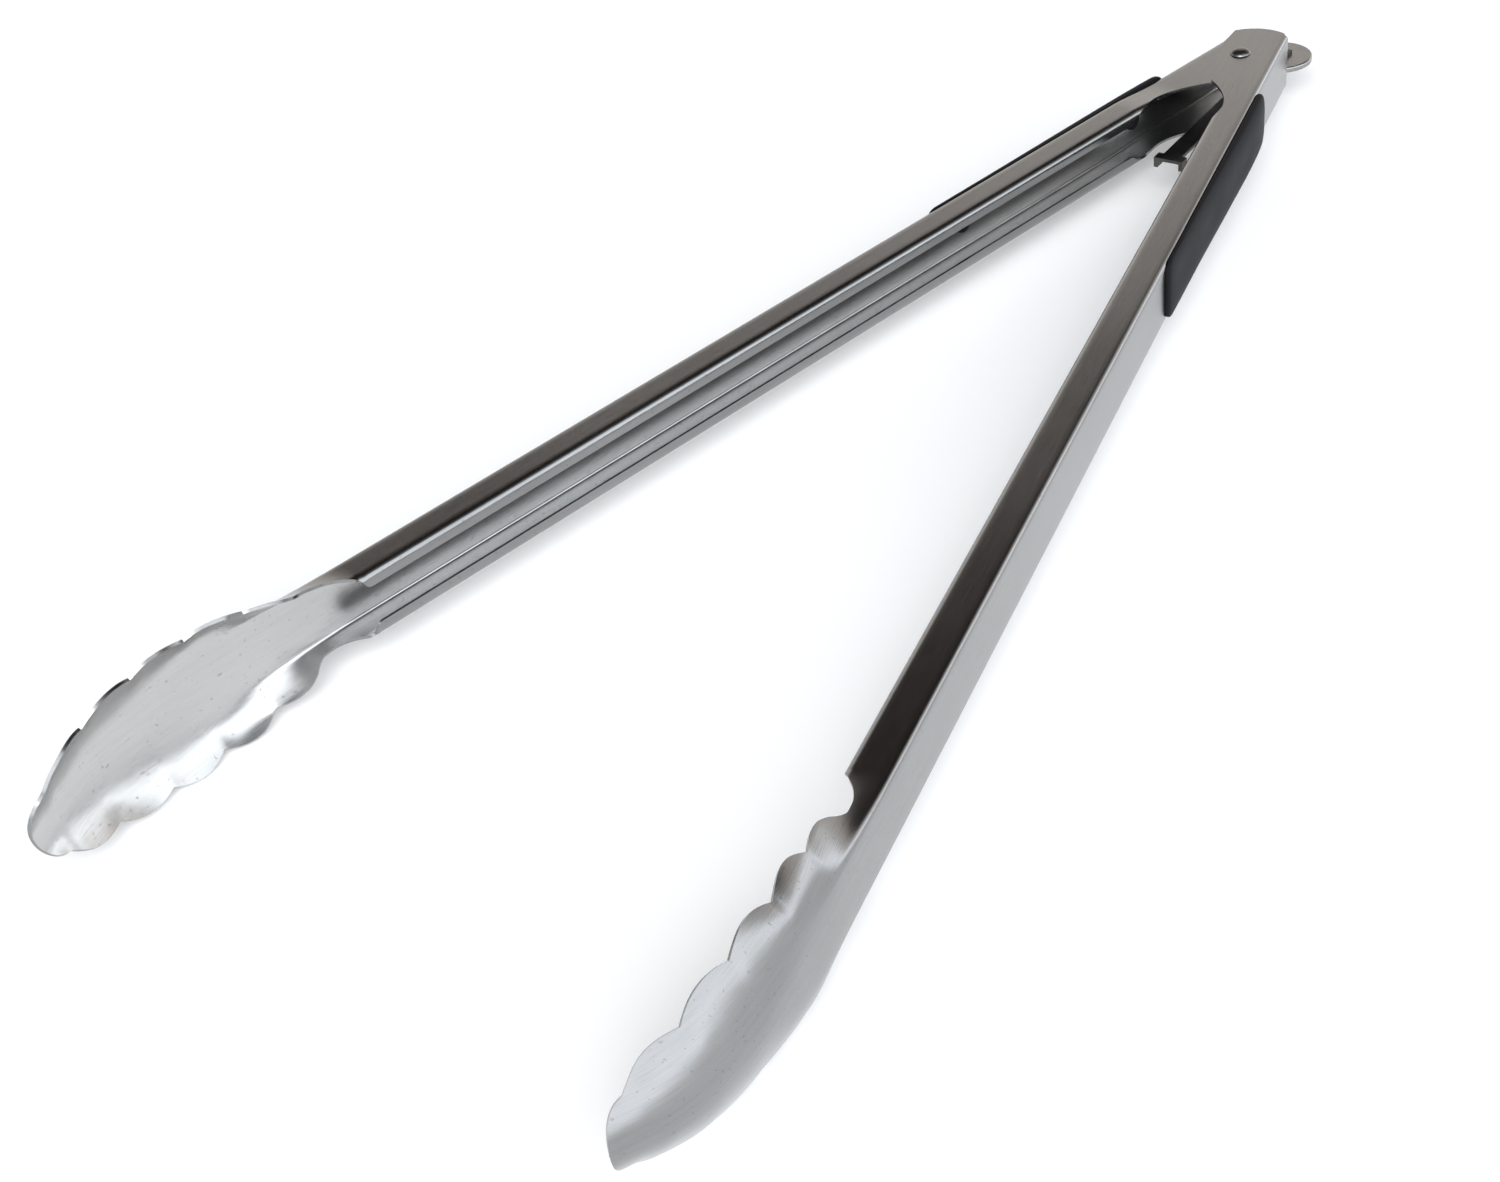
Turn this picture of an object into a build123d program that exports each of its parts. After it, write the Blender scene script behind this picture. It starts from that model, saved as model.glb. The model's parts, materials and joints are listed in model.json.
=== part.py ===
# Long barbecue tongs: two sheet-steel arms on one rivet, sprung open, with a sliding lock at the hinge end.
# Millimetres, +Z up along the rivet, arms toward -Y. Each arm is first drawn as it lies when both are parallel,
# on the +X side: s runs from the rivet toward the tip (-Y), t runs sideways (+X), and z is height.
import os
from math import asin, atan, atan2, cos, degrees, pi, radians, sin, sqrt

from build123d import *

# Sheet-steel arms
sheet = 0.9  # thickness of the sheet
half_height = 10.6  # channel, middle to outer face of a flange
web_face = 13.7  # outer face of the web, from the middle plane
lip_face = 1.8  # outer face of the turned-in lips, from the middle plane
lip_gap = 12.6  # clear height between the two lips
bend_radius = 1.7  # web to flange, outside
lip_radius = 2.1  # flange to lip, outside
arm_length = 397.7  # rivet to the end of the lips
lips_start = 61.5  # rivet to the start of the lips
web_end = 17.6  # rivet to the rear end of the web
ear_end = 22.0  # rivet to the rear end of the ears
ear_reach = 8.6  # how far an ear reaches past the middle plane
cut_out_start = 23.5  # rivet to the rear end of the hinge cut-out
cut_out_depth = 4.1  # flange edge from the middle plane at the deepest place of the cut-out
cut_out_deepest = 45.0  # rivet to that place
ear_gap = 0.2  # between an inner ear and an outer ear
joggle_start = 34.0  # inner arm, where it is still low enough for the outer ears
joggle_length = 25.0  # inner arm, over which it widens to full height

# Scalloped cups; distances run from the end of the lips
cup_length = 111.8
# distance, face height of the middle line, cross curvature per mm
cup_stations = [
    (-6.0, 13.7, 0.022),
    (34.0, 13.6, 0.025),
    (52.5, 13.0, 0.027),
    (70.0, 11.8, 0.033),
    (87.8, 8.4, 0.047),
    (100.0, 3.0, 0.074),
    (106.5, -1.8, 0.096),
    (111.8, -6.0, 0.110),
    (115.0, -9.0, 0.115),
]
# distance and half width of the rim where two lobes meet
cusps = [(34.2, 17.9), (52.5, 20.3), (70.3, 20.0), (87.8, 17.2), (103.8, 11.3)]
lobe_height = 2.4  # how far a lobe stands out past the line between its cusps
fold_out_length = 38.0  # over which the flanges open out into the cup
notch_depth = 6.6  # flange edge past the lip face at the bottom of the notch before the cup
bump_start = 14.0  # first lobe, rear end, where the notch ends
bump_top = 9.0  # from there to the top of the first lobe
bump_width = 17.4  # half width there

# Motion
open_half_angle = 11.39  # each arm from the middle plane, tongs fully open
tip_gap = 0.3  # between the tips when the tongs are closed
stop_gap = 0.5  # between an inner ear and the outer web when the tongs are open

# Rivet and its bush
rivet_diameter = 5.0
rivet_running_gap = 0.05
head_diameter = 7.6
head_height = 1.5
head_gap = 0.05
bush_diameter = 7.0
bush_end_gap = 0.05

# Torsion spring
wire = 1.5
coil_diameter = 12.0  # middle of the wire
coil_turns = 5
coil_bottom = -2.6  # middle of the lowest turn
coil_lap = 0.1  # neighbouring turns, so that they are one solid
leg_length = 34.0
leg_gap = 0.1  # between a leg and the web it pushes

# Lock, drawn along the middle plane between the arms
travel = 8.0
strip_level = -5.3  # middle of the strip
strip_thickness = 1.2
strip_gap = 0.15  # slot to bush, each side
strip_rail = 1.8  # strip beside the slot
strip_width = 7.0  # tail and front of the strip
catch_position = 57.0  # rivet to the middle of the catch, tongs unlocked
catch_thickness = 1.5
catch_length = 4.0
catch_gap = 0.3  # catch to the lips
tab_position = 36.5  # rivet to the middle of the round pull tab, unlocked
tab_diameter = 24.0
tab_depth = 2.0
tab_wall = 0.9
tab_rim = 0.7  # rounding of its upper edge
strip_past_tab = 3.2  # end of the strip past the middle of the tab
tab_rivet_diameter = 2.4
tab_head_diameter = 4.2
tab_head_height = 0.8

# Plastic grips
grip_start = 28.0
grip_end = 155.5
grip_thick = 3.8  # at the fuller end
grip_thin = 1.9  # at the far end
grip_full = 52.0  # rivet to the fullest place
grip_blunt = 1.3  # height of the grip at its very ends
grip_edge = 1.0  # rounding along both long edges
grip_margin = 0.2  # grip edge inside the flange face
stud_places = (48.0, 140.0)
stud_diameter = 4.0
stud_gap = 0.05
stud_head_diameter = 7.0
stud_head_height = 1.4

channel_depth = web_face - lip_face
inner_half_height = half_height - sheet - ear_gap
far = 60.0  # longer than any cut has to reach


def on_plan(s, t):
    return (t, -s)


def across(s):
    return Plane(origin=(0, -s, 0), x_dir=(1, 0, 0), z_dir=(0, -1, 0))


def rounded_box(left, right, half, left_radius, right_radius):
    face = Pos((left + right) / 2, 0) * Rectangle(right - left, 2 * half)
    face = fillet(face.vertices().group_by(Axis.X)[-1], right_radius)
    return fillet(face.vertices().group_by(Axis.X)[0], left_radius)


def lipped_section():
    outside = rounded_box(lip_face, web_face, half_height, lip_radius, bend_radius)
    hollow = rounded_box(
        lip_face + sheet, web_face - sheet, half_height - sheet, lip_radius - sheet, bend_radius - sheet
    )
    mouth = Pos(lip_face, 0) * Rectangle(4 * sheet, lip_gap)
    return outside - hollow - mouth


def open_section(half):
    length = web_face + ear_reach + sheet
    middle = web_face - length / 2
    outside = Pos(middle, 0) * Rectangle(length, 2 * half)
    outside = fillet(outside.vertices().group_by(Axis.X)[-1], bend_radius)
    hollow = Pos(middle - sheet, 0) * Rectangle(length, 2 * (half - sheet))
    hollow = fillet(hollow.vertices().group_by(Axis.X)[-1], bend_radius - sheet)
    return outside - hollow


def hinge_outline():
    # seen from above: rounded ear, then the curved cut-out, then the straight flange
    rear_web = on_plan(-web_end, web_face)
    rear_inner = on_plan(-web_end, -ear_reach)
    cut_rear = on_plan(cut_out_start, 0.3 - ear_reach + sheet * 3.5)
    deepest = on_plan(cut_out_deepest, cut_out_depth)
    cut_front = on_plan(lips_start - 4, lip_face + 0.4)
    slope = (cut_out_start + cut_out_deepest) / 2
    edges = [
        ThreePointArc(rear_web, on_plan(-ear_end, (web_face - ear_reach) / 2), rear_inner),
        Line(rear_inner, cut_rear),
        ThreePointArc(cut_rear, on_plan(slope, cut_out_depth - 2.0), deepest),
        ThreePointArc(deepest, on_plan((cut_out_deepest + lips_start) / 2, cut_out_depth - 0.7), cut_front),
        Line(cut_front, on_plan(lips_start + 1, lip_face - 1)),
        Line(on_plan(lips_start + 1, lip_face - 1), on_plan(lips_start + 1, web_face)),
        Line(on_plan(lips_start + 1, web_face), rear_web),
    ]
    face = make_face(edges)
    return extrude(face, amount=far, both=True)


def interpolated(distance, column):
    # smooth curve through the stations, without overshoot
    rows = cup_stations
    slopes = []
    for row, after in zip(rows, rows[1:]):
        slopes.append((after[column] - row[column]) / (after[0] - row[0]))
    place = 0
    while place < len(rows) - 2 and distance > rows[place + 1][0]:
        place += 1
    left, right = rows[place], rows[place + 1]
    span = right[0] - left[0]
    share = (distance - left[0]) / span
    slope_left = slopes[place] if place == 0 else (slopes[place - 1] + slopes[place]) / 2
    slope_right = slopes[place] if place == len(slopes) - 1 else (slopes[place] + slopes[place + 1]) / 2
    a = 2 * share**3 - 3 * share**2 + 1
    b = share**3 - 2 * share**2 + share
    c = 3 * share**2 - 2 * share**3
    d = share**3 - share**2
    return a * left[column] + b * span * slope_left + c * right[column] + d * span * slope_right


def cup_profile(distance):
    # half of the outer line across the cup, from the middle outward, as (t, z), with its direction
    spine = interpolated(distance, 1)
    curvature = interpolated(distance, 2)
    share = min(1.0, max(0.0, distance / fold_out_length))
    opened = share * share * (3 - 2 * share)
    flat = half_height - bend_radius
    bend = bend_radius * pi / 2
    length = (1 - opened) * (flat + bend + channel_depth - bend_radius) + opened * 27.0
    count = 44
    step = length / count
    t, z, points = spine, 0.0, []
    for place in range(count + 1):
        run = place * step
        folded = min(1.0, max(0.0, (run - flat) / bend)) * pi / 2
        angle = (1 - opened) * folded + opened * atan(curvature * z)
        points.append((t, z, angle))
        t -= sin(angle) * step
        z += cos(angle) * step
    return points


def cup_section(distance):
    steepness = (interpolated(distance + 0.5, 1) - interpolated(distance - 0.5, 1)) if distance > 0 else 0.0
    wall = sheet * sqrt(1 + steepness**2)
    half = cup_profile(distance)[::2]
    outer = [(t, z) for t, z, angle in half]
    inner = [(t - wall * cos(angle), z - wall * sin(angle)) for t, z, angle in half]
    outer = [(t, -z) for t, z in reversed(outer[1:])] + outer
    inner = [(t, -z) for t, z in reversed(inner[1:])] + inner
    edges = [
        Spline(*outer),
        Line(outer[-1], inner[-1]),
        Spline(*reversed(inner)),
        Line(inner[0], outer[0]),
    ]
    return across(arm_length + distance) * make_face(edges)


def lobe(start, end):
    # arc between two points of the rim, bulging away from the middle line
    middle = ((start[0] + end[0]) / 2, (start[1] + end[1]) / 2)
    chord = sqrt((end[0] - start[0]) ** 2 + (end[1] - start[1]) ** 2)
    normal = (-(end[1] - start[1]) / chord, (end[0] - start[0]) / chord)
    return ThreePointArc(start, (middle[0] + normal[0] * lobe_height, middle[1] + normal[1] * lobe_height), end)


def rim_outline():
    # drawn with x along the arm and y as height, one side and then its mirror image
    wide = 2 * bump_width
    edges = [
        Line((-20, 0), (-20, wide)),
        Line((-20, wide), (bump_start, wide)),
        Line((bump_start, wide), (bump_start, half_height + 1.0)),
        ThreePointArc((bump_start, half_height + 1.0), (bump_start + bump_top, bump_width), cusps[0]),
    ]
    for start, end in zip(cusps, cusps[1:]):
        edges.append(lobe(start, end))
    last = cusps[-1]
    tip_radius = (last[1] ** 2 + (cup_length - last[0]) ** 2) / (2 * (cup_length - last[0]))
    middle_angle = asin(last[1] / tip_radius) / 2
    on_arc = (cup_length - tip_radius * (1 - cos(middle_angle)), tip_radius * sin(middle_angle))
    edges.append(ThreePointArc(last, on_arc, (cup_length, 0)))
    edges.append(Line((cup_length, 0), (-20, 0)))
    half = make_face(edges)
    face = half + mirror(half, Plane.XZ)
    place = Plane(origin=(0, -arm_length, 0), x_dir=(0, -1, 0), z_dir=(1, 0, 0))
    return extrude(place * face, amount=far, both=True)


def notch():
    # takes the lips and the inner part of both flanges away between the channel and the first lobe
    corner = on_plan(arm_length, lip_face)
    bottom = on_plan(arm_length + bump_start, lip_face + notch_depth)
    below = lip_face - far
    edges = [
        ThreePointArc(corner, on_plan(arm_length + 0.4 * bump_start, lip_face + 0.72 * notch_depth), bottom),
        Line(bottom, on_plan(arm_length + bump_start, below)),
        Line(on_plan(arm_length + bump_start, below), on_plan(arm_length, below)),
        Line(on_plan(arm_length, below), corner),
    ]
    return extrude(make_face(edges), amount=far, both=True)


def cup():
    distances = [0.0, 5.0, 10.0, 15.0, 20.0, 26.0, 32.0, 38.0, 48.0, 60.0, 72.0, 84.0, 93.0, 100.0, 106.0, 110.0, 113.5]
    shell = loft([cup_section(distance) for distance in distances])
    return (shell & rim_outline()) - notch()


def grip_holes():
    holes = []
    for place in stud_places:
        hole = Cylinder(stud_diameter / 2 + stud_gap, 4 * sheet, rotation=(0, 90, 0))
        holes.append(Pos(web_face - sheet / 2, -place, 0) * hole)
    return holes


def rivet_hole():
    return Cylinder(rivet_diameter / 2 + rivet_running_gap, 2 * far)


def straight_channel():
    return extrude(across(lips_start) * lipped_section(), amount=arm_length - lips_start)


def finished_arm(hinge):
    return straight_channel() + cup_shell + hinge - rivet_hole() - grip_holes()


def outer_arm():
    hinge = extrude(across(-ear_end - 1) * open_section(half_height), amount=ear_end + lips_start + 1)
    return finished_arm(hinge & hinge_outline())


def inner_arm():
    low = extrude(across(-ear_end - 1) * open_section(inner_half_height), amount=ear_end + joggle_start + 1)
    joggle_end = joggle_start + joggle_length
    ramp = loft([across(joggle_start) * open_section(inner_half_height), across(joggle_end) * open_section(half_height)])
    full = extrude(across(joggle_end) * open_section(half_height), amount=lips_start - joggle_end)
    hinge = (low + ramp + full) & hinge_outline()
    stop = Pos(web_face - sheet - stop_gap + far / 2, 0, 0) * Box(far, 2 * far, 2 * far)
    # the outer web when open, seen from the inner arm; mirrored, because this arm is drawn on the +X side too
    stop = mirror(Rot(0, 0, 2 * open_half_angle) * stop, Plane.YZ)
    return finished_arm(hinge - stop)


def grip():
    start_face = web_face + grip_blunt
    low = on_plan(grip_start, start_face)
    shoulder = on_plan(grip_start + 6, web_face + 0.8 * grip_thick)
    full = on_plan(grip_full, web_face + grip_thick)
    thin = on_plan(grip_end - 6, web_face + grip_thin)
    outline = [
        Line(on_plan(grip_start, web_face), low),
        Spline(low, shoulder, full, thin, on_plan(grip_end, start_face)),
        Line(on_plan(grip_end, start_face), on_plan(grip_end, web_face)),
        Line(on_plan(grip_end, web_face), on_plan(grip_start, web_face)),
    ]
    body = extrude(make_face(outline), amount=half_height - grip_margin, both=True)
    ridge = body.edges().filter_by(lambda edge: edge.length > 100 and edge.center().X > web_face + 0.5)
    body = fillet(ridge, grip_edge)
    for place in stud_places:
        stud_length = grip_thin / 2 + sheet + stud_head_height
        stud = Cylinder(stud_diameter / 2, stud_length, rotation=(0, 90, 0))
        body += Pos(web_face + grip_thin / 2 - stud_length / 2, -place, 0) * stud
        head = Cylinder(stud_head_diameter / 2, stud_head_height, rotation=(0, 90, 0))
        body += Pos(web_face - sheet - stud_head_height / 2, -place, 0) * head
    return body


def rivet():
    shank = Cylinder(rivet_diameter / 2, 2 * (half_height + head_gap + 0.2))
    dome_radius = (head_diameter**2 / 4 + head_height**2) / (2 * head_height)
    ball = Pos(0, 0, half_height + head_gap + head_height - dome_radius) * Sphere(dome_radius)
    above = Pos(0, 0, half_height + head_gap + far / 2) * Box(far, far, far)
    head = ball & above
    return shank + head + mirror(head, Plane.XY)


def bush():
    length = 2 * (inner_half_height - sheet - bush_end_gap)
    return Cylinder(bush_diameter / 2, length) - rivet_hole()


def spring():
    pitch = wire - coil_lap
    coil = None
    for turn in range(coil_turns):
        ring = Pos(0, 0, coil_bottom + turn * pitch) * Torus(coil_diameter / 2, wire / 2)
        coil = ring if coil is None else coil + ring
    web_inside = web_face - sheet
    reach = web_inside - leg_gap - wire / 2
    lean = degrees(asin((reach - coil_diameter / 2) / leg_length))
    for side, level in ((1, coil_bottom), (-1, coil_bottom + (coil_turns - 1) * pitch)):
        leg = Pos(0, -leg_length / 2, 0) * Cylinder(wire / 2, leg_length, rotation=(90, 0, 0))
        leg = Pos(side * coil_diameter / 2, 0, level) * Rot(0, 0, side * lean) * leg
        coil += Rot(0, 0, side * open_half_angle) * leg
    return coil


def lock_strip():
    slot_half = bush_diameter / 2 + strip_gap
    wide = 2 * (slot_half + strip_rail)
    front_end = catch_position - catch_length / 2
    rear_end = tab_position + strip_past_tab
    slot = Pos(0, travel / 2) * SlotOverall(travel + 2 * slot_half, 2 * slot_half, rotation=90)
    body = Pos(0, travel / 2) * RectangleRounded(wide, travel + wide, slot_half)
    bar = Pos(0, (rear_end - front_end) / 2) * Rectangle(strip_width, rear_end + front_end)
    hole = Pos(0, tab_position) * Circle(tab_rivet_diameter / 2)
    return Pos(0, 0, strip_level) * extrude(bar + body - slot - hole, amount=strip_thickness / 2, both=True)


def closed_half_angle():
    # the arms stop when the nearest places of the two cups are tip_gap apart
    angles = []
    for point in cup_shell.tessellate(0.05)[0]:
        reach = sqrt(point.X**2 + point.Y**2)
        angles.append(asin(tip_gap / 2 / reach) - atan2(point.X, -point.Y))
    return degrees(max(angles))


def lock_catch():
    # two plates that slide in behind the lower lips of both arms, joined through the gap between the lips
    inside = lip_face + sheet + catch_gap + (catch_position + travel) * sin(radians(closed_half_angle()))
    top = strip_level + strip_thickness / 2
    low = lip_radius - half_height
    plate = Pos(inside + catch_thickness / 2, 0, (top + low) / 2) * Box(catch_thickness, catch_length, top - low)
    bridge = Pos(0, 0, strip_level) * Box(2 * inside + catch_thickness, catch_length, strip_thickness)
    return Pos(0, -catch_position, 0) * (plate + bridge + mirror(plate, Plane.YZ))


def pull_tab():
    # flat round cap under the end of the strip, its rim turned down
    outside = Cylinder(tab_diameter / 2, tab_depth)
    outside = fillet(outside.edges().group_by(Axis.Z)[-1], tab_rim)
    hollow = Pos(0, 0, -tab_wall) * Cylinder(tab_diameter / 2 - tab_wall, tab_depth)
    cap = outside - hollow - Cylinder(tab_rivet_diameter / 2, far)
    return Pos(0, tab_position, strip_level - strip_thickness / 2 - tab_depth / 2) * cap


def tab_rivet():
    joined = strip_thickness + tab_wall
    head = Cylinder(tab_head_diameter / 2, tab_head_height)
    upper = Pos(0, 0, tab_head_height / 2) * head
    lower = Pos(0, 0, -joined - tab_head_height / 2) * head
    shank = Pos(0, 0, -joined / 2) * Cylinder(tab_rivet_diameter / 2, joined)
    return Pos(0, tab_position, strip_level + strip_thickness / 2) * (shank + upper + lower)


def on_right(piece):
    return Rot(0, 0, open_half_angle) * piece


def on_left(piece):
    return Rot(0, 0, -open_half_angle) * mirror(piece, Plane.YZ)


cup_shell = cup()
pieces = {
    "left_arm": on_left(inner_arm()),
    "right_arm": on_right(outer_arm()),
    "left_grip": on_left(grip()),
    "right_grip": on_right(grip()),
    "pivot_rivet": rivet(),
    "pivot_bush": bush(),
    "torsion_spring": spring(),
    "lock_strip": lock_strip(),
    "lock_catch": lock_catch(),
    "pull_tab": pull_tab(),
    "tab_rivet": tab_rivet(),
}

points = [point for piece in pieces.values() for point in piece.tessellate(0.02)[0]]
rear = max(point.Y for point in points)
front = min(point.Y for point in points)
rest = Pos(0, -(rear + front) / 2, -min(point.Z for point in points))
print("rivet axis", rest.position.X, rest.position.Y, "middle height", rest.position.Z)
print("closing travel", 2 * (open_half_angle - closed_half_angle()))

os.makedirs("parts", exist_ok=True)
for name, piece in pieces.items():
    moved = rest * piece
    solids = moved.solids()
    print(name, len(solids), round(sum(solid.volume for solid in solids), 1))
    export_step(solids[0] if len(solids) == 1 else Compound(solids), "parts/" + name + ".step")
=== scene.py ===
import bpy
import bmesh
import json
import math
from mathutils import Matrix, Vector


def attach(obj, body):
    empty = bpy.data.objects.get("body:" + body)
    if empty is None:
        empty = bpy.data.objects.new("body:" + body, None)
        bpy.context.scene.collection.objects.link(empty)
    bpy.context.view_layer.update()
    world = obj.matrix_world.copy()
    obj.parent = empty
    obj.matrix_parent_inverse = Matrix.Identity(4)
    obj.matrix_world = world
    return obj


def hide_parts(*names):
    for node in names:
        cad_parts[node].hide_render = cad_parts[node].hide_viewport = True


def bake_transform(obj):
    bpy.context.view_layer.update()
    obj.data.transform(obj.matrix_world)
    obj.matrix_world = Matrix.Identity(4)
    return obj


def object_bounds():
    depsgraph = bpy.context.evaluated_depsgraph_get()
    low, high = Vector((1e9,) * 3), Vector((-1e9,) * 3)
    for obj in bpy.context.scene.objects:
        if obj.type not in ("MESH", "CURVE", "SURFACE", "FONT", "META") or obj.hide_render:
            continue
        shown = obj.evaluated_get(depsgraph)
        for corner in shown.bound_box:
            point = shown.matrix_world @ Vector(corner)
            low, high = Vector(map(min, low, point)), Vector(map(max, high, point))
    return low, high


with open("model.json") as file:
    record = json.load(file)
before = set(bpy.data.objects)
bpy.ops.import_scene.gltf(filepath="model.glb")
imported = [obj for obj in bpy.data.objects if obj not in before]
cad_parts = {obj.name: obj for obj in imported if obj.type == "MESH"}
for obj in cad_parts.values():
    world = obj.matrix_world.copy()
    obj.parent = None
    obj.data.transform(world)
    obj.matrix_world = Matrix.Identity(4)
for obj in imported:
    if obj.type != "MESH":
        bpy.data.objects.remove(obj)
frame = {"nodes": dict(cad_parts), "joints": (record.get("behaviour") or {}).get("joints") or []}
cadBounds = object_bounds()
pivot = [joint for joint in frame["joints"] if joint["name"] == "arm_hinge"][0]["pos_m"]
halfOpening = math.radians(11.39)  # each arm from the middle line, at rest
print("frame loaded, hinge at", [round(v, 4) for v in pivot])


def smooth(x):
    x = min(1.0, max(0.0, x))
    return x * x * (3 - 2 * x)


def lay(s, t, z, side):
    # s toward the tip, t outward, z up, all in mm; side +1 is the right arm
    x = t * math.cos(halfOpening) + s * math.sin(halfOpening)
    y = t * math.sin(halfOpening) - s * math.cos(halfOpening)
    return (side * x / 1000 + pivot[0], y / 1000 + pivot[1], z / 1000 + pivot[2])


def spread(start, end, count):
    return [start + (end - start) * i / count for i in range(count)]


def through(rows, x):
    # smooth curve through (x, value) pairs, flat outside them
    if x <= rows[0][0]:
        return rows[0][1]
    if x >= rows[-1][0]:
        return rows[-1][1]
    i = max(k for k in range(len(rows) - 1) if rows[k][0] <= x)
    slope = [(b[1] - a[1]) / (b[0] - a[0]) for a, b in zip(rows, rows[1:])]
    span = rows[i + 1][0] - rows[i][0]
    u = (x - rows[i][0]) / span

    def bent(before, after):
        return 0.0 if before * after <= 0 else 2 * before * after / (before + after)

    left = slope[i] if i == 0 else bent(slope[i - 1], slope[i])
    right = slope[i] if i == len(slope) - 1 else bent(slope[i], slope[i + 1])
    return ((2 * u**3 - 3 * u**2 + 1) * rows[i][1] + (u**3 - 2 * u**2 + u) * span * left
            + (3 * u**2 - 2 * u**3) * rows[i + 1][1] + (u**3 - u**2) * span * right)


def meshObject(name, verts, faces, uvs=None):
    data = bpy.data.meshes.new(name)
    data.from_pydata(verts, [], faces)
    if uvs:
        layer = data.uv_layers.new(name="sheetMap")
        for loop in data.loops:
            layer.data[loop.index].uv = uvs[loop.vertex_index]
    obj = bpy.data.objects.new(name, data)
    bpy.context.scene.collection.objects.link(obj)
    return obj


def shadeByAngle(obj, degrees):
    data = obj.data
    for face in data.polygons:
        face.use_smooth = True
    work = bmesh.new()
    work.from_mesh(data)
    for edge in work.edges:
        edge.smooth = len(edge.link_faces) != 2 or edge.calc_face_angle(0) < math.radians(degrees)
    work.to_mesh(data)
    work.free()


def bevelled(obj, width, degrees=40, segments=2):
    mod = obj.modifiers.new("softEdges", "BEVEL")
    mod.width = width / 1000
    mod.segments = segments
    mod.limit_method = "ANGLE"
    mod.angle_limit = math.radians(degrees)
    mod.harden_normals = True


def lathe(profile, centre, axis, segments=48):
    # profile is (radius, height) along the axis, from one end to the other
    a, b = [((0, 1, 0), (0, 0, 1)), ((0, 0, 1), (1, 0, 0)), ((1, 0, 0), (0, 1, 0))][axis]
    up = [0, 0, 0]
    up[axis] = 1
    verts, faces = [], []
    for radius, height in profile:
        for k in range(segments):
            turn = 2 * math.pi * k / segments
            out = [a[i] * math.cos(turn) + b[i] * math.sin(turn) for i in range(3)]
            verts.append(tuple(centre[i] + radius * out[i] + up[i] * height for i in range(3)))
    for j in range(len(profile) - 1):
        for k in range(segments):
            m = (k + 1) % segments
            faces.append((j * segments + k, j * segments + m, (j + 1) * segments + m, (j + 1) * segments + k))
    return verts, faces


def tidied(obj):
    # closes the ends and turns every face outward
    work = bmesh.new()
    work.from_mesh(obj.data)
    bmesh.ops.remove_doubles(work, verts=work.verts, dist=1e-6)
    bmesh.ops.holes_fill(work, edges=work.edges, sides=0)
    bmesh.ops.recalc_face_normals(work, faces=work.faces)
    work.to_mesh(obj.data)
    work.free()
    return obj


class Flow:
    # wraps one socket, so that shader maths reads like ordinary maths
    def __init__(self, tree, socket=None):
        self.tree = tree
        self.socket = socket

    def put(self, target, value):
        if isinstance(value, Flow):
            self.tree.links.new(value.socket, target)
        else:
            target.default_value = value

    def node(self, kind, settings=None, inputs=None, output=0):
        made = self.tree.nodes.new(kind)
        for key, value in (settings or {}).items():
            setattr(made, key, value)
        for key, value in (inputs or {}).items():
            self.put(made.inputs[key], value)
        return Flow(self.tree, made.outputs[output])

    def maths(self, operation, a, b=0.0):
        return self.node("ShaderNodeMath", {"operation": operation}, {0: a, 1: b})

    def __add__(self, other):
        return self.maths("ADD", self, other)

    def __radd__(self, other):
        return self.maths("ADD", other, self)

    def __sub__(self, other):
        return self.maths("SUBTRACT", self, other)

    def __rsub__(self, other):
        return self.maths("SUBTRACT", other, self)

    def __mul__(self, other):
        return self.maths("MULTIPLY", self, other)

    def __rmul__(self, other):
        return self.maths("MULTIPLY", other, self)

    def ramp(self, low, high):
        # 0 below low, 1 above high, eased in between
        return self.node("ShaderNodeMapRange", {"interpolation_type": "SMOOTHSTEP"},
                         {"Value": self, "From Min": low, "From Max": high})

    def blendTo(self, a, b):
        # colours a to b, by this socket
        return self.node("ShaderNodeMix", {"data_type": "RGBA"}, {0: self, 6: a, 7: b}, 2)

    def scaled(self, x, y, z):
        return self.node("ShaderNodeVectorMath", {"operation": "MULTIPLY"}, {0: self, 1: (x, y, z)})

    def noise(self, scale, detail=2.0, rough=0.5):
        return self.node("ShaderNodeTexNoise", None,
                         {"Vector": self, "Scale": scale, "Detail": detail, "Roughness": rough})


def newMaterial(name, metallic, constants):
    mat = bpy.data.materials.new(name)
    mat.use_nodes = True
    tree = mat.node_tree
    shader = tree.nodes["Principled BSDF"]
    shader.inputs["Metallic"].default_value = metallic
    for key, value in constants.items():
        shader.inputs[key].default_value = value
    return mat, Flow(tree), shader


def steelMaterial(name, look, mapped=True):
    mat, flow, shader = newMaterial(name, 1.0, {})
    if mapped:
        place = flow.node("ShaderNodeUVMap", {"uv_map": "sheetMap"})
    else:
        place = flow.node("ShaderNodeTexCoord", None, None, "Object")
    solid = flow.node("ShaderNodeTexCoord", None, None, "Object")
    along, across = look["hairAlong"], look["hairAcross"]
    hairs = place.scaled(along, across, across).noise(1.0, 3.0, 0.6)
    bands = place.scaled(along * 0.25, across * 0.12, across * 0.12).noise(1.0, 2.0)
    clouds = solid.noise(look["cloudScale"], 3.0)
    specks = solid.noise(900.0, 1.0).ramp(0.69, 0.74)  # tiny pits and dust
    tone = (hairs * 0.5 + bands * 0.15 + clouds * 0.35).ramp(0.3, 0.7)
    colour = tone.blendTo(look["dark"], look["light"])
    colour = (specks * look["pits"]).blendTo(colour, (0.12, 0.11, 0.1, 1))
    flow.put(shader.inputs["Base Color"], colour)
    rough = look["rough"] + (hairs - 0.5) * look["roughHair"] + (clouds - 0.5) * look["roughCloud"]
    flow.put(shader.inputs["Roughness"], rough)
    bump = flow.node("ShaderNodeBump", None, {"Strength": look["bump"], "Distance": 0.0001, "Height": hairs})
    flow.put(shader.inputs["Normal"], bump)
    return mat


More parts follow.
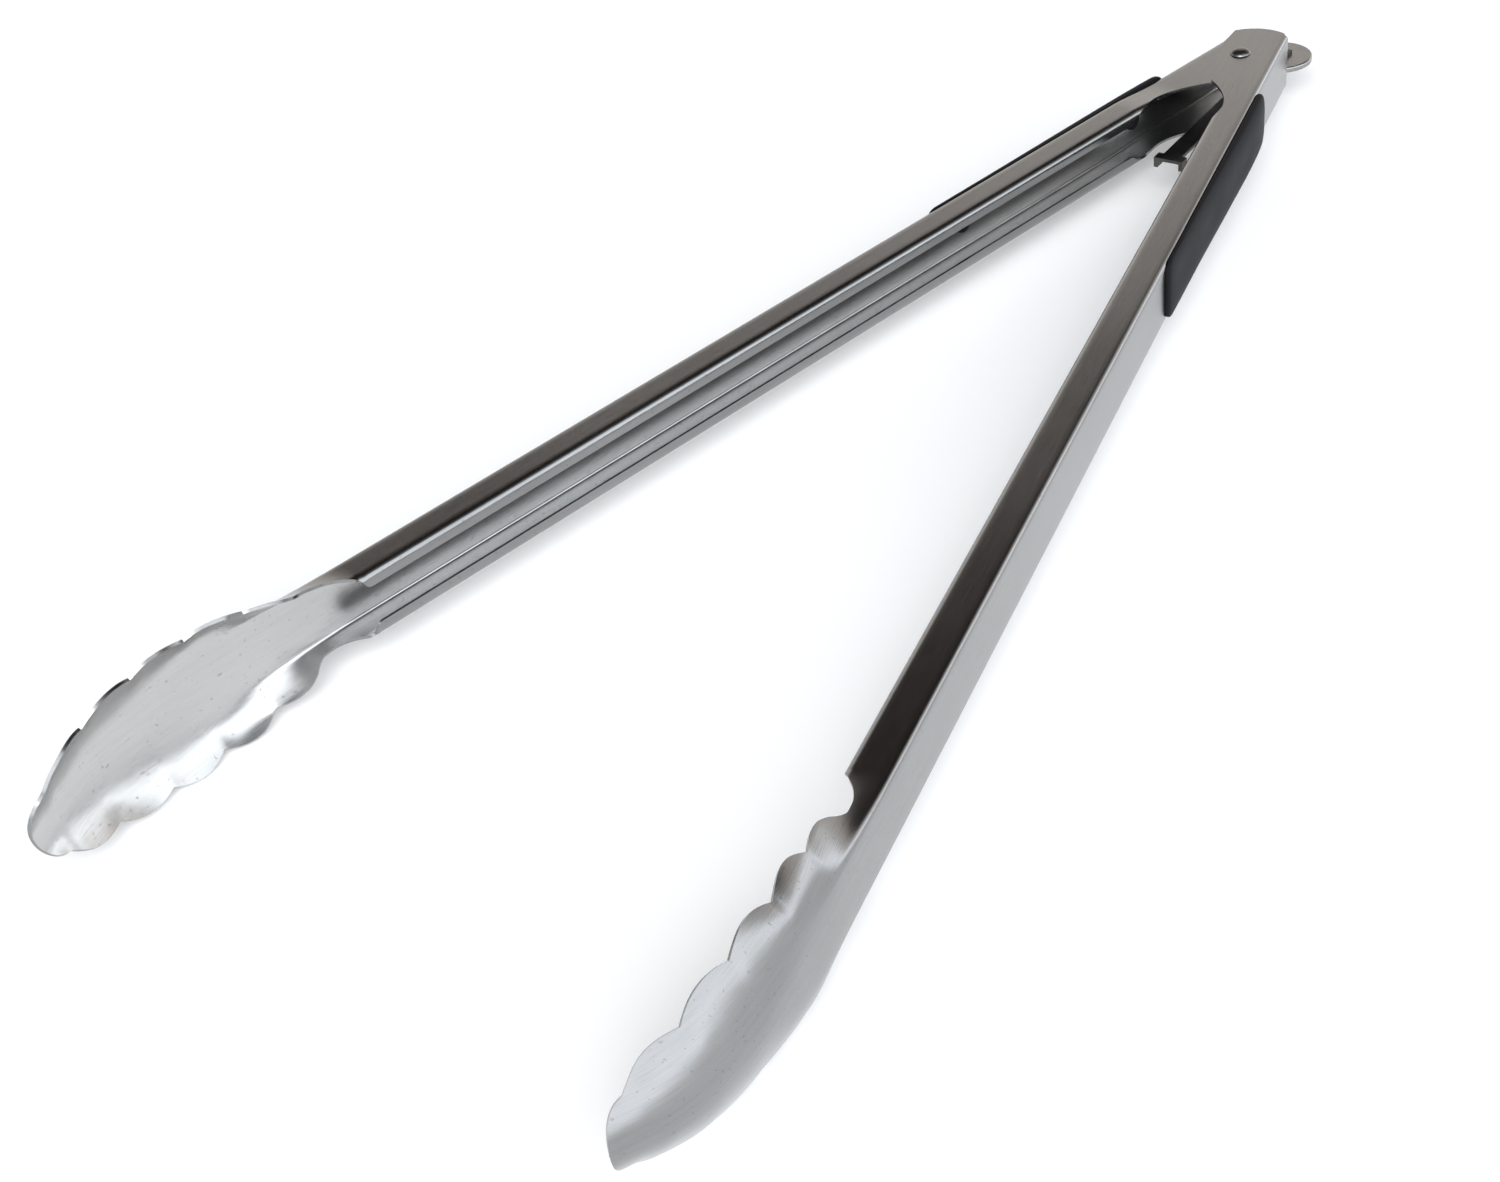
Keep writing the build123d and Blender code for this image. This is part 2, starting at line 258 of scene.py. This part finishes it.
def plasticMaterial(name, look):
    mat, flow, shader = newMaterial(name, 0.0, {"Specular IOR Level": look["shine"]})
    place = flow.node("ShaderNodeTexCoord", None, None, "Object")
    grain = place.noise(look["grain"], 3.0, 0.65)
    worn = place.noise(60.0, 2.0)
    flow.put(shader.inputs["Base Color"], worn.blendTo(look["dark"], look["light"]))
    flow.put(shader.inputs["Roughness"], look["rough"] + (worn - 0.5) * 0.15)
    bump = flow.node("ShaderNodeBump", None, {"Strength": look["bump"], "Distance": 0.0002, "Height": grain})
    flow.put(shader.inputs["Normal"], bump)
    return mat


armLook = {
    "hairAlong": 90.0, "hairAcross": 5200.0, "cloudScale": 22.0,
    "dark": (0.235, 0.235, 0.236, 1), "light": (0.305, 0.305, 0.306, 1), "pits": 0.35,
    "rough": 0.22, "roughHair": 0.10, "roughCloud": 0.08, "bump": 0.18,
}
# the inside of the arms gets a brighter copy of the arm steel: painted light, standing in for the brighter
# reflections inside the channel
paintedLightInsideLook = dict(armLook, dark=(0.44, 0.438, 0.434, 1), light=(0.53, 0.527, 0.522, 1), rough=0.24)
smallLook = {
    "hairAlong": 300.0, "hairAcross": 1800.0, "cloudScale": 120.0,
    "dark": (0.26, 0.255, 0.25, 1), "light": (0.36, 0.355, 0.35, 1), "pits": 0.2,
    "rough": 0.27, "roughHair": 0.1, "roughCloud": 0.1, "bump": 0.15,
}
rivetLook = dict(smallLook, dark=(0.14, 0.137, 0.134, 1), light=(0.24, 0.235, 0.23, 1), rough=0.3)
# near-black steel for the lock strip and catch: painted shade for the dark inside of the channel
paintedShadeCatchLook = dict(smallLook, dark=(0.06, 0.058, 0.056, 1), light=(0.11, 0.107, 0.104, 1), rough=0.38)
wireLook = dict(smallLook, dark=(0.2, 0.195, 0.19, 1), light=(0.32, 0.31, 0.3, 1), rough=0.32)
gripLook = {
    "dark": (0.008, 0.008, 0.009, 1), "light": (0.014, 0.014, 0.016, 1), "grain": 2600.0,
    "rough": 0.45, "bump": 0.2, "shine": 0.03,
}
armSteel = steelMaterial("armSteel", armLook)
paintedLightInsideSteel = steelMaterial("paintedLightInsideSteel", paintedLightInsideLook)
lockSteel = steelMaterial("lockSteel", smallLook, mapped=False)
paintedShadeCatchSteel = steelMaterial("paintedShadeCatchSteel", paintedShadeCatchLook, mapped=False)
rivetSteel = steelMaterial("rivetSteel", rivetLook, mapped=False)
springWire = steelMaterial("springWire", wireLook, mapped=False)
gripPlastic = plasticMaterial("gripPlastic", gripLook)
print("materials made")


arm = {
    "sheet": 0.9, "halfHeight": 10.6, "webFace": 13.7, "webBend": 1.7, "lipBend": 2.1, "flange": 8.1,
    "innerHalf": 9.5, "joggleFrom": 34.0, "joggleTo": 59.0,
    "webEnd": -17.6, "earEnd": -22.0, "earMiddle": 2.55, "earRadius": 16.33, "rearBlend": -9.0,
    "foldFrom": 397.7, "foldLength": 50.0,
    "squareUntil": 440.0, "roundFrom": 470.0, "square": 4.4, "rimSpan": 20.0,
    "valley": 0.4, "valleyReach": 8.0, "valleyFrom": 421.0, "valleyRise": 10.9, "valleyFade": 4.5,
    "tipEnd": 509.5, "tipRadius": 11.98, "lipsFrom": 46.0, "lipsRise": 5.0,
    "firstEdgeInner": 5.2, "firstEdgeOuter": 6.6, "cornerFrom": 426.0, "cornerRise": 5.9, "edgeSoft": 0.2,
}
# how far the sheet runs past the web bend, measured round the bends, along the arm
sheetReach = [
    (-17.6, 20.6), (7.2, 19.3), (23.2, 17.0), (24.6, 15.9), (28.5, 13.2), (33.5, 10.4), (38.6, 8.6),
    (43.9, 7.9), (48.6, 8.5), (53.3, 9.7), (56.4, 10.7), (59.0, 12.3), (61.0, 13.5), (62.0, 13.63),
    (395.6, 13.63),
    (397.0, 13.3), (398.5, 10.6), (401.5, 7.4), (405.0, 5.0), (409.0, 3.75), (412.5, 3.6), (414.8, 4.6),
    (418.0, 7.3), (422.0, 9.0), (426.0, 9.4), (431.9, 7.6),
]
rimPoints = [(431.9, 17.9), (450.2, 20.3), (468.0, 20.0), (485.5, 17.2), (501.5, 11.3)]
lobeBulge = 2.35
spineLine = [
    (391.7, 13.7), (431.7, 13.6), (450.2, 13.0), (467.7, 11.8), (485.5, 8.4),
    (497.7, 3.0), (504.2, -1.8), (509.5, -6.0), (512.7, -9.0),
]
crossCurve = [
    (391.7, 0.022), (431.7, 0.025), (450.2, 0.027), (467.7, 0.033), (485.5, 0.047),
    (497.7, 0.074), (504.2, 0.096), (509.5, 0.110), (512.7, 0.115),
]
columns = [5, 6, 6, 6, 3]  # web, web bend, flange, lip bend, lip


def rimHeight(s):
    for (s0, z0), (s1, z1) in zip(rimPoints, rimPoints[1:]):
        if s <= s1:
            u = (s - s0) / (s1 - s0)
            return z0 + (z1 - z0) * u + lobeBulge * (1 - (2 * u - 1) ** 2)
    return math.sqrt(max(0.01, arm["tipRadius"] ** 2 - (s - arm["tipEnd"] + arm["tipRadius"]) ** 2))


def valleyDepth(s):
    # 1 where two lobes meet, 0 on top of a lobe
    if s < rimPoints[0][0]:
        return smooth((s - arm["valleyFrom"]) / arm["valleyRise"]) ** 1.5
    for (s0, z0), (s1, z1) in zip(rimPoints, rimPoints[1:]):
        if s <= s1:
            return (2 * (s - s0) / (s1 - s0) - 1) ** 2
    return 1 - smooth((s - rimPoints[-1][0]) / arm["valleyFade"])


def dish(s):
    # slope across the cup: flat middle and steep rims at first, evenly round further on
    curve = through(crossCurve, s)
    rounder = smooth((s - arm["squareUntil"]) / (arm["roundFrom"] - arm["squareUntil"]))
    power = 2 + (arm["square"] - 2) * (1 - rounder)
    span = arm["rimSpan"]
    return lambda z: math.atan(curve * span * power / 2 * min(1.1, z / span) ** (power - 1))


def sectionRow(s, inner):
    # points (t, z, run) from the middle of the web out to the edge, at distance s from the hinge
    half = arm["halfHeight"]
    if inner:
        widened = smooth((s - arm["joggleFrom"]) / (arm["joggleTo"] - arm["joggleFrom"]))
        half += (arm["innerHalf"] - half) * (1 - widened)
    flat = half - arm["webBend"]
    bend = arm["webBend"] * math.pi / 2
    lipStart = flat + bend + arm["flange"]
    lipBend = arm["lipBend"] * math.pi / 2
    opened = smooth((s - arm["foldFrom"]) / arm["foldLength"])
    lips = smooth((s - arm["lipsFrom"]) / arm["lipsRise"])
    curve = dish(s)

    def turned(run, z):
        first = min(1, max(0, (run - flat) / bend))
        second = lips * min(1, max(0, (run - lipStart) / lipBend))
        folded = math.pi / 2 * (first + second)
        return (1 - opened) * folded + opened * curve(z)

    def walk(run, t, z, target):
        steps = max(1, int((target - run) / 0.25) + 1)
        step = (target - run) / steps
        for _ in range(steps):
            angle = turned(run + step / 2, z)
            t -= math.sin(angle) * step
            z += math.cos(angle) * step
            run += step
        return run, t, z

    spine = through(spineLine, s)
    if s < rimPoints[0][0]:
        edge = flat + bend + through(sheetReach, s)
        # the last stretch runs into the first corner of the rim
        if s > arm["cornerFrom"]:
            share = smooth((s - arm["cornerFrom"]) / arm["cornerRise"])
            edge += share * (cornerReach() - (flat + bend + sheetReach[-1][1]))
    else:
        edge = reachTo(rimHeight(s), turned)
    stops = [0.0]
    b1 = min(flat, 0.62 * edge)
    b2 = min(flat + bend, 0.8 * edge)
    b3 = min(lipStart, b2 + 0.6 * (edge - b2))
    b4 = min(lipStart + lipBend, b2 + 0.85 * (edge - b2))
    for (start, end), count in zip(((0, b1), (b1, b2), (b2, b3), (b3, b4), (b4, edge)), columns):
        stops += [start + (end - start) * k / count for k in range(1, count + 1)]
    run, t, z = 0.0, spine, 0.0
    points = []
    for stop in stops:
        run, t, z = walk(run, t, z, stop)
        angle = turned(run, z)
        sunk = arm["valley"] * valleyDepth(s) * smooth(1 - (edge - run) / arm["valleyReach"])
        points.append((t - sunk * math.cos(angle), z - sunk * math.sin(angle), run))
    return points


def reachTo(height, turned):
    run, z = 0.0, 0.0
    while z < height and run < 40:
        z += math.cos(turned(run, z)) * 0.02
        run += 0.02
    return run


cornerCache = []


def cornerReach():
    if not cornerCache:
        s = rimPoints[0][0]
        curve = dish(s)
        opened = smooth((s - arm["foldFrom"]) / arm["foldLength"])
        flat = arm["halfHeight"] - arm["webBend"]
        bend = arm["webBend"] * math.pi / 2

        def turned(run, z):
            return (1 - opened) * math.pi / 2 * min(1, max(0, (run - flat) / bend)) + opened * curve(z)

        cornerCache.append(reachTo(rimHeight(s), turned))
    return cornerCache[0]


def armRows():
    # close together where the edge is shaped, far apart along the plain channel
    rows = spread(arm["rearBlend"], 20, 12) + spread(20, 66, 46) + spread(66, 390, 27)
    rows += spread(390, rimPoints[0][0], 54)
    for (s0, z0), (s1, z1) in zip(rimPoints, rimPoints[1:]):
        rows += spread(s0, s1, 14)
    low = math.asin(rimPoints[-1][1] / arm["tipRadius"])
    centre = arm["tipEnd"] - arm["tipRadius"]
    rows += [centre + arm["tipRadius"] * math.cos(low + (0.05 - low) * k / 16) for k in range(17)]
    return rows


def buildArm(name, side, inner, body):
    grid = []
    firstEdge = arm["firstEdgeInner"] if inner else arm["firstEdgeOuter"]
    stretch = through(sheetReach, arm["rearBlend"])
    rearRow = sectionRow(arm["rearBlend"], inner)
    flangeStart = sum(columns[:2])
    for k in range(9):  # rounded rear of the ears
        w = k / 9
        row = []
        for i, (t, z, run) in enumerate(rearRow):
            if i > flangeStart:
                share = (rearRow[flangeStart][0] - t) / stretch
                last = firstEdge + (-rearRow[-1][0] - firstEdge) * w
                t = rearRow[flangeStart][0] - share * (rearRow[flangeStart][0] + last)
            rear = arm["webEnd"]
            if i >= flangeStart:
                sag = math.sqrt(arm["earRadius"] ** 2 - (t - arm["earMiddle"]) ** 2)
                rear = arm["earEnd"] + arm["earRadius"] - sag
            row.append((rear + (arm["rearBlend"] - rear) * w, t, z, run))
        grid.append(row)
    for s in armRows():
        grid.append([(s, t, z, run) for t, z, run in sectionRow(s, inner)])
    verts, uvs, faces = [], [], []
    across = 2 * len(grid[0]) - 1
    for row in grid:
        line = [(s, t, -z, -run) for s, t, z, run in reversed(row[1:])] + row
        for s, t, z, run in line:
            verts.append(lay(s, t, z, side))
            uvs.append((s / 1000, run / 1000))
    for j in range(len(grid) - 1):
        for i in range(across - 1):
            a, b = j * across + i, j * across + i + 1
            face = (a, b, b + across, a + across)
            faces.append(face if side > 0 else face[::-1])
    obj = meshObject(name, verts, faces, uvs)
    shadeByAngle(obj, 60)
    thick = obj.modifiers.new("sheet", "SOLIDIFY")
    thick.thickness = arm["sheet"] / 1000
    thick.offset = -1
    thick.use_even_offset = True
    thick.material_offset = 1  # inner skin
    thick.material_offset_rim = 0
    bevelled(obj, arm["edgeSoft"], 45)
    obj.data.materials.append(armSteel)
    # second slot: the brighter painted-light steel of the inner skin
    obj.data.materials.append(paintedLightInsideSteel)
    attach(obj, body)
    return obj


leftArm = buildArm("leftArmSheet", -1, True, "left_side")
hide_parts("left_arm")
rightArm = buildArm("rightArmSheet", 1, False, "right_side")
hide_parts("right_arm")
print("arms made")


grip = {
    "start": 28.0, "end": 155.5, "half": 10.4, "corner": 4.6, "crown": 3.4, "rim": 0.35,
    "studPlaces": (48.0, 140.0), "studRadius": 2.0, "headRadius": 3.5, "headHeight": 1.4,
}
gripHeight = [
    (28.0, 0.9), (28.5, 1.7), (29.6, 2.4), (33.0, 3.1), (40.0, 3.6), (52.0, 3.8), (80.0, 3.3), (120.0, 2.3),
    (149.5, 1.9), (153.5, 1.65), (154.9, 1.3), (155.5, 0.8),
]


def gripOutline(s):
    # half width of the grip at s, with rounded corners
    corner = grip["corner"]
    inside = min(s - grip["start"], grip["end"] - s)
    if inside >= corner:
        return grip["half"]
    return grip["half"] - corner + math.sqrt(max(0, corner**2 - (corner - inside) ** 2))


def buildGrip(name, side, body):
    ends = [0.0, 0.08, 0.2, 0.4, 0.8, 1.4, 2.2, 3.2, 4.6, 6.4, 8.6]
    rows = [grip["start"] + e for e in ends] + spread(39, 146, 30) + [grip["end"] - e for e in reversed(ends)]
    count = 28
    verts, faces = [], []
    for s in rows:
        wide, high = gripOutline(s), through(gripHeight, s)
        for i in range(count + 1):
            v = -math.cos(math.pi * i / count)  # crowded toward both edges
            crown = (1 - abs(v) ** grip["crown"]) ** (1 / grip["crown"])
            verts.append(lay(s, arm["webFace"] + grip["rim"] + (high - grip["rim"]) * crown, v * wide, side))
    for j in range(len(rows) - 1):
        for i in range(count):
            a = j * (count + 1) + i
            face = (a, a + 1, a + count + 2, a + count + 1)
            faces.append(face if side < 0 else face[::-1])
    obj = meshObject(name, verts, faces)
    work = bmesh.new()
    work.from_mesh(obj.data)
    border = [e for e in work.edges if len(e.link_faces) == 1]
    wall = bmesh.ops.extrude_edge_only(work, edges=border)["geom"]
    down = [v for v in wall if isinstance(v, bmesh.types.BMVert)]
    web = lay(0, arm["webFace"], 0, side)
    outward = (side * math.cos(halfOpening), math.sin(halfOpening))
    for v in down:
        off = (v.co.x - web[0]) * outward[0] + (v.co.y - web[1]) * outward[1]
        v.co.x -= off * outward[0]
        v.co.y -= off * outward[1]
    bmesh.ops.holes_fill(work, edges=[e for e in work.edges if len(e.link_faces) == 1], sides=0)
    work.to_mesh(obj.data)
    work.free()
    # moulded studs that hold it, with flattened heads inside the channel
    parts = [obj]
    inner = arm["webFace"] - arm["sheet"]
    for place in grip["studPlaces"]:
        r, h = grip["headRadius"], grip["headHeight"]
        low, neck, rooted = inner - h, inner - 0.02, arm["webFace"] + 0.4
        profile = [(0.0, low), (r - 0.7, low), (r - 0.2, low + 0.2), (r, low + 0.6), (r, neck),
                   (grip["studRadius"], neck), (grip["studRadius"], rooted), (0.0, rooted)]
        ring, sides = lathe(profile, (0, 0, 0), 0, 32)
        stud = meshObject(name + "Stud", [lay(place + y, x, z, side) for x, y, z in ring], sides)
        parts.append(tidied(stud))
    with bpy.context.temp_override(active_object=obj, object=obj, selected_objects=parts,
                                   selected_editable_objects=parts):
        bpy.ops.object.join()
    shadeByAngle(obj, 38)
    bevelled(obj, 0.15, 50)
    obj.data.materials.append(gripPlastic)
    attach(obj, body)
    return obj


leftGrip = buildGrip("leftGripShell", -1, "left_side")
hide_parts("left_grip")
rightGrip = buildGrip("rightGripShell", 1, "right_side")
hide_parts("right_grip")
print("grips made")


rivet = {"radius": 2.5, "headRadius": 3.8, "headHeight": 1.5, "seat": 10.65}


def headProfile():
    # from the middle of the dome down to its seat
    r, h = rivet["headRadius"], rivet["headHeight"]
    return [(0.0, h), (0.25 * r, 0.99 * h), (0.45 * r, 0.93 * h), (0.62 * r, 0.82 * h), (0.78 * r, 0.64 * h),
            (0.9 * r, 0.42 * h), (0.97 * r, 0.2 * h), (r, 0.06 * h), (0.98 * r, 0.0), (rivet["radius"], 0.0)]


rivetProfile = [(r, rivet["seat"] + h) for r, h in headProfile()]
rivetProfile += [(r, -height) for r, height in reversed(rivetProfile)]
verts, faces = lathe([(r / 1000, h / 1000) for r, h in rivetProfile], pivot, 2, 64)
rivetObject = tidied(meshObject("hingeRivet", verts, faces))
shadeByAngle(rivetObject, 50)
rivetObject.data.materials.append(rivetSteel)
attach(rivetObject, "left_side")
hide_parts("pivot_rivet")


spring = {
    "wire": 0.75, "coil": 6.0, "bottom": -2.6, "top": 3.0, "turns": 3,
    "leg": 34.0, "legGap": 0.1, "sides": 14,
    "bendSpan": 6.0,  # not used: the span either side of the rivet over which the legs would pass from one arm to the other
}


def springPath():
    reach = arm["webFace"] - arm["sheet"] - spring["legGap"] - spring["wire"]
    lean = math.asin((reach - spring["coil"]) / spring["leg"])
    start = halfOpening
    end = math.pi - halfOpening + 2 * math.pi * spring["turns"]

    def leg(sideways, level):
        # from the coil outward, lying just inside the web of its arm
        points = []
        for k in range(1, 13):
            d = spring["leg"] * k / 12
            t = spring["coil"] + d * math.sin(lean)
            points.append(lay(d * math.cos(lean), t, level, sideways))
        return points

    helix = []
    count = 150
    for k in range(count + 1):
        u = k / count
        turn = start + (end - start) * u
        level = spring["bottom"] + (spring["top"] - spring["bottom"]) * u
        around = (spring["coil"] * math.cos(turn), spring["coil"] * math.sin(turn), level)
        helix.append(tuple(pivot[i] + around[i] / 1000 for i in range(3)))
    return leg(1, spring["bottom"])[::-1] + helix + leg(-1, spring["top"])


def crossed(a, b):
    return [a[1] * b[2] - a[2] * b[1], a[2] * b[0] - a[0] * b[2], a[0] * b[1] - a[1] * b[0]]


def unit(a):
    length = math.sqrt(sum(v * v for v in a))
    return [v / length for v in a]


def tube(name, path, radius, sides):
    verts, faces = [], []
    for k, here in enumerate(path):
        before, after = path[max(0, k - 1)], path[min(len(path) - 1, k + 1)]
        ahead = unit([after[i] - before[i] for i in range(3)])
        across = unit(crossed(ahead, (0.0, 0.0, 1.0)))
        high = crossed(across, ahead)
        for m in range(sides):
            turn = 2 * math.pi * m / sides
            out = [across[i] * math.cos(turn) + high[i] * math.sin(turn) for i in range(3)]
            verts.append(tuple(here[i] + radius * out[i] for i in range(3)))
    for k in range(len(path) - 1):
        for m in range(sides):
            n = (m + 1) % sides
            faces.append((k * sides + m, k * sides + n, (k + 1) * sides + n, (k + 1) * sides + m))
    return tidied(meshObject(name, verts, faces))


springObject = tube("coilSpring", springPath(), spring["wire"] / 1000, spring["sides"])
shadeByAngle(springObject, 50)
springObject.data.materials.append(springWire)
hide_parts("torsion_spring")
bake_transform(springObject)
print("rivet and spring made")


# the lock's CAD pieces keep their shape and get a better finish; the strip and catch get near-black steel,
# painted shade for the dark channel they sit in
finishes = {
    "lock_strip": paintedShadeCatchSteel, "lock_catch": paintedShadeCatchSteel, "pull_tab": lockSteel,
    "tab_rivet": rivetSteel, "pivot_bush": rivetSteel,
}
for name, finish in finishes.items():
    frame["nodes"][name].data.materials.clear()
    frame["nodes"][name].data.materials.append(finish)


floor = {
    "size": 9.0, "cells": 24, "below": 0.0002, "glow": 0.12,
    "colour": (0.93, 0.93, 0.935, 1), "shade": (0.9, 0.9, 0.905, 1),
}


def buildFloor():
    size, count = floor["size"], floor["cells"]
    level = cadBounds[0][2] - floor["below"]
    row = count + 1
    verts = [(-size / 2 + size * i / count, -size / 2 + size * j / count, level)
             for j in range(row) for i in range(row)]
    faces = [(j * row + i, j * row + i + 1, (j + 1) * row + i + 1, (j + 1) * row + i)
             for j in range(count) for i in range(count)]
    obj = meshObject("paleFloor", verts, faces)
    constants = {"Roughness": 0.9, "Specular IOR Level": 0.1, "Emission Strength": floor["glow"]}
    mat, flow, shader = newMaterial("paleFloorPaint", 0.0, constants)
    grain = flow.node("ShaderNodeTexCoord", None, None, "Object").noise(3.0, 2.0)
    flow.put(shader.inputs["Base Color"], grain.blendTo(floor["shade"], floor["colour"]))
    flow.put(shader.inputs["Emission Color"], grain.blendTo((1, 1, 1, 1), (0.985, 0.99, 1, 1)))
    obj.data.materials.append(mat)


buildFloor()

room = {
    "nearLow": (0.9, 0.92, 0.95, 1), "nearHigh": (0.30, 0.31, 0.33, 1), "nearRise": (0.1, 0.8),
    "farLow": (1.1, 1.04, 0.98, 1), "farHigh": (0.03, 0.023, 0.02, 1), "farRise": (0.39, 0.6),
    "farToward": (-0.55, 0.83), "farEdge": (-0.25, 0.45),
    "glass": (2.5, 2.62, 2.75, 1),
}
windows = [
    # direction it faces, its soft side, its soft top, how bright
    {"toward": (0.92, 0.3), "edge": (0.1, 0.6), "top": (0.14, 0.32), "share": 1.0},
    {"toward": (0.8, -0.6), "edge": (0.15, 0.42), "top": (0.8, 0.94), "share": 0.75},
]


def buildRoom():
    world = bpy.data.worlds.new("studioRoom")
    world.use_nodes = True
    bpy.context.scene.world = world
    flow = Flow(world.node_tree)
    ray = flow.node("ShaderNodeTexCoord")
    x, y, z = [flow.node("ShaderNodeSeparateXYZ", None, {0: ray}, axis) for axis in range(3)]

    def facing(toward, edge):
        return (x * toward[0] + y * toward[1]).ramp(*edge)

    near = z.ramp(*room["nearRise"]).blendTo(room["nearLow"], room["nearHigh"])
    away = z.ramp(*room["farRise"]).blendTo(room["farLow"], room["farHigh"])
    walls = facing(room["farToward"], room["farEdge"]).blendTo(near, away)
    light = sum(facing(w["toward"], w["edge"]) * (1 - z.ramp(*w["top"])) * w["share"] for w in windows)
    back = world.node_tree.nodes["Background"]
    flow.put(back.inputs["Color"], light.ramp(0.0, 1.0).blendTo(walls, room["glass"]))


buildRoom()

lamps = {
    # place in metres from the middle of the tongs, size, power, colour
    "keyBox": {
        "at": (0.9, -1.6, 1.7), "size": (1.2, 1.2), "power": 26.0, "colour": (1.0, 0.99, 0.97),
    },
}


def buildLamp(name, lamp):
    data = bpy.data.lights.new(name, "AREA")
    data.shape = "RECTANGLE"
    data.size, data.size_y = lamp["size"]
    data.energy = lamp["power"]
    data.color = lamp["colour"]
    obj = bpy.data.objects.new(name, data)
    bpy.context.scene.collection.objects.link(obj)
    obj.location = lamp["at"]
    flat = math.hypot(lamp["at"][0], lamp["at"][1])
    heading = math.atan2(lamp["at"][1], lamp["at"][0]) + math.pi / 2
    obj.rotation_euler = (math.atan2(flat, lamp["at"][2]), 0, heading)


for name, lamp in lamps.items():
    buildLamp(name, lamp)

view = {"away": (0.300827, -0.668341, 0.345993), "turn": (51.5647, 6.8988, 35.4496), "lens": 49.16}
cameraData = bpy.data.cameras.new("studioCamera")
cameraData.lens = view["lens"]
cameraData.sensor_width = 36
cameraData.clip_start = 0.01
cameraObject = bpy.data.objects.new("studioCamera", cameraData)
bpy.context.scene.collection.objects.link(cameraObject)
cameraObject.location = [pivot[i] + view["away"][i] for i in range(3)]
cameraObject.rotation_euler = [math.radians(v) for v in view["turn"]]
bpy.context.scene.camera = cameraObject
bpy.context.scene.view_settings.view_transform = "Standard"
print("room and camera made")
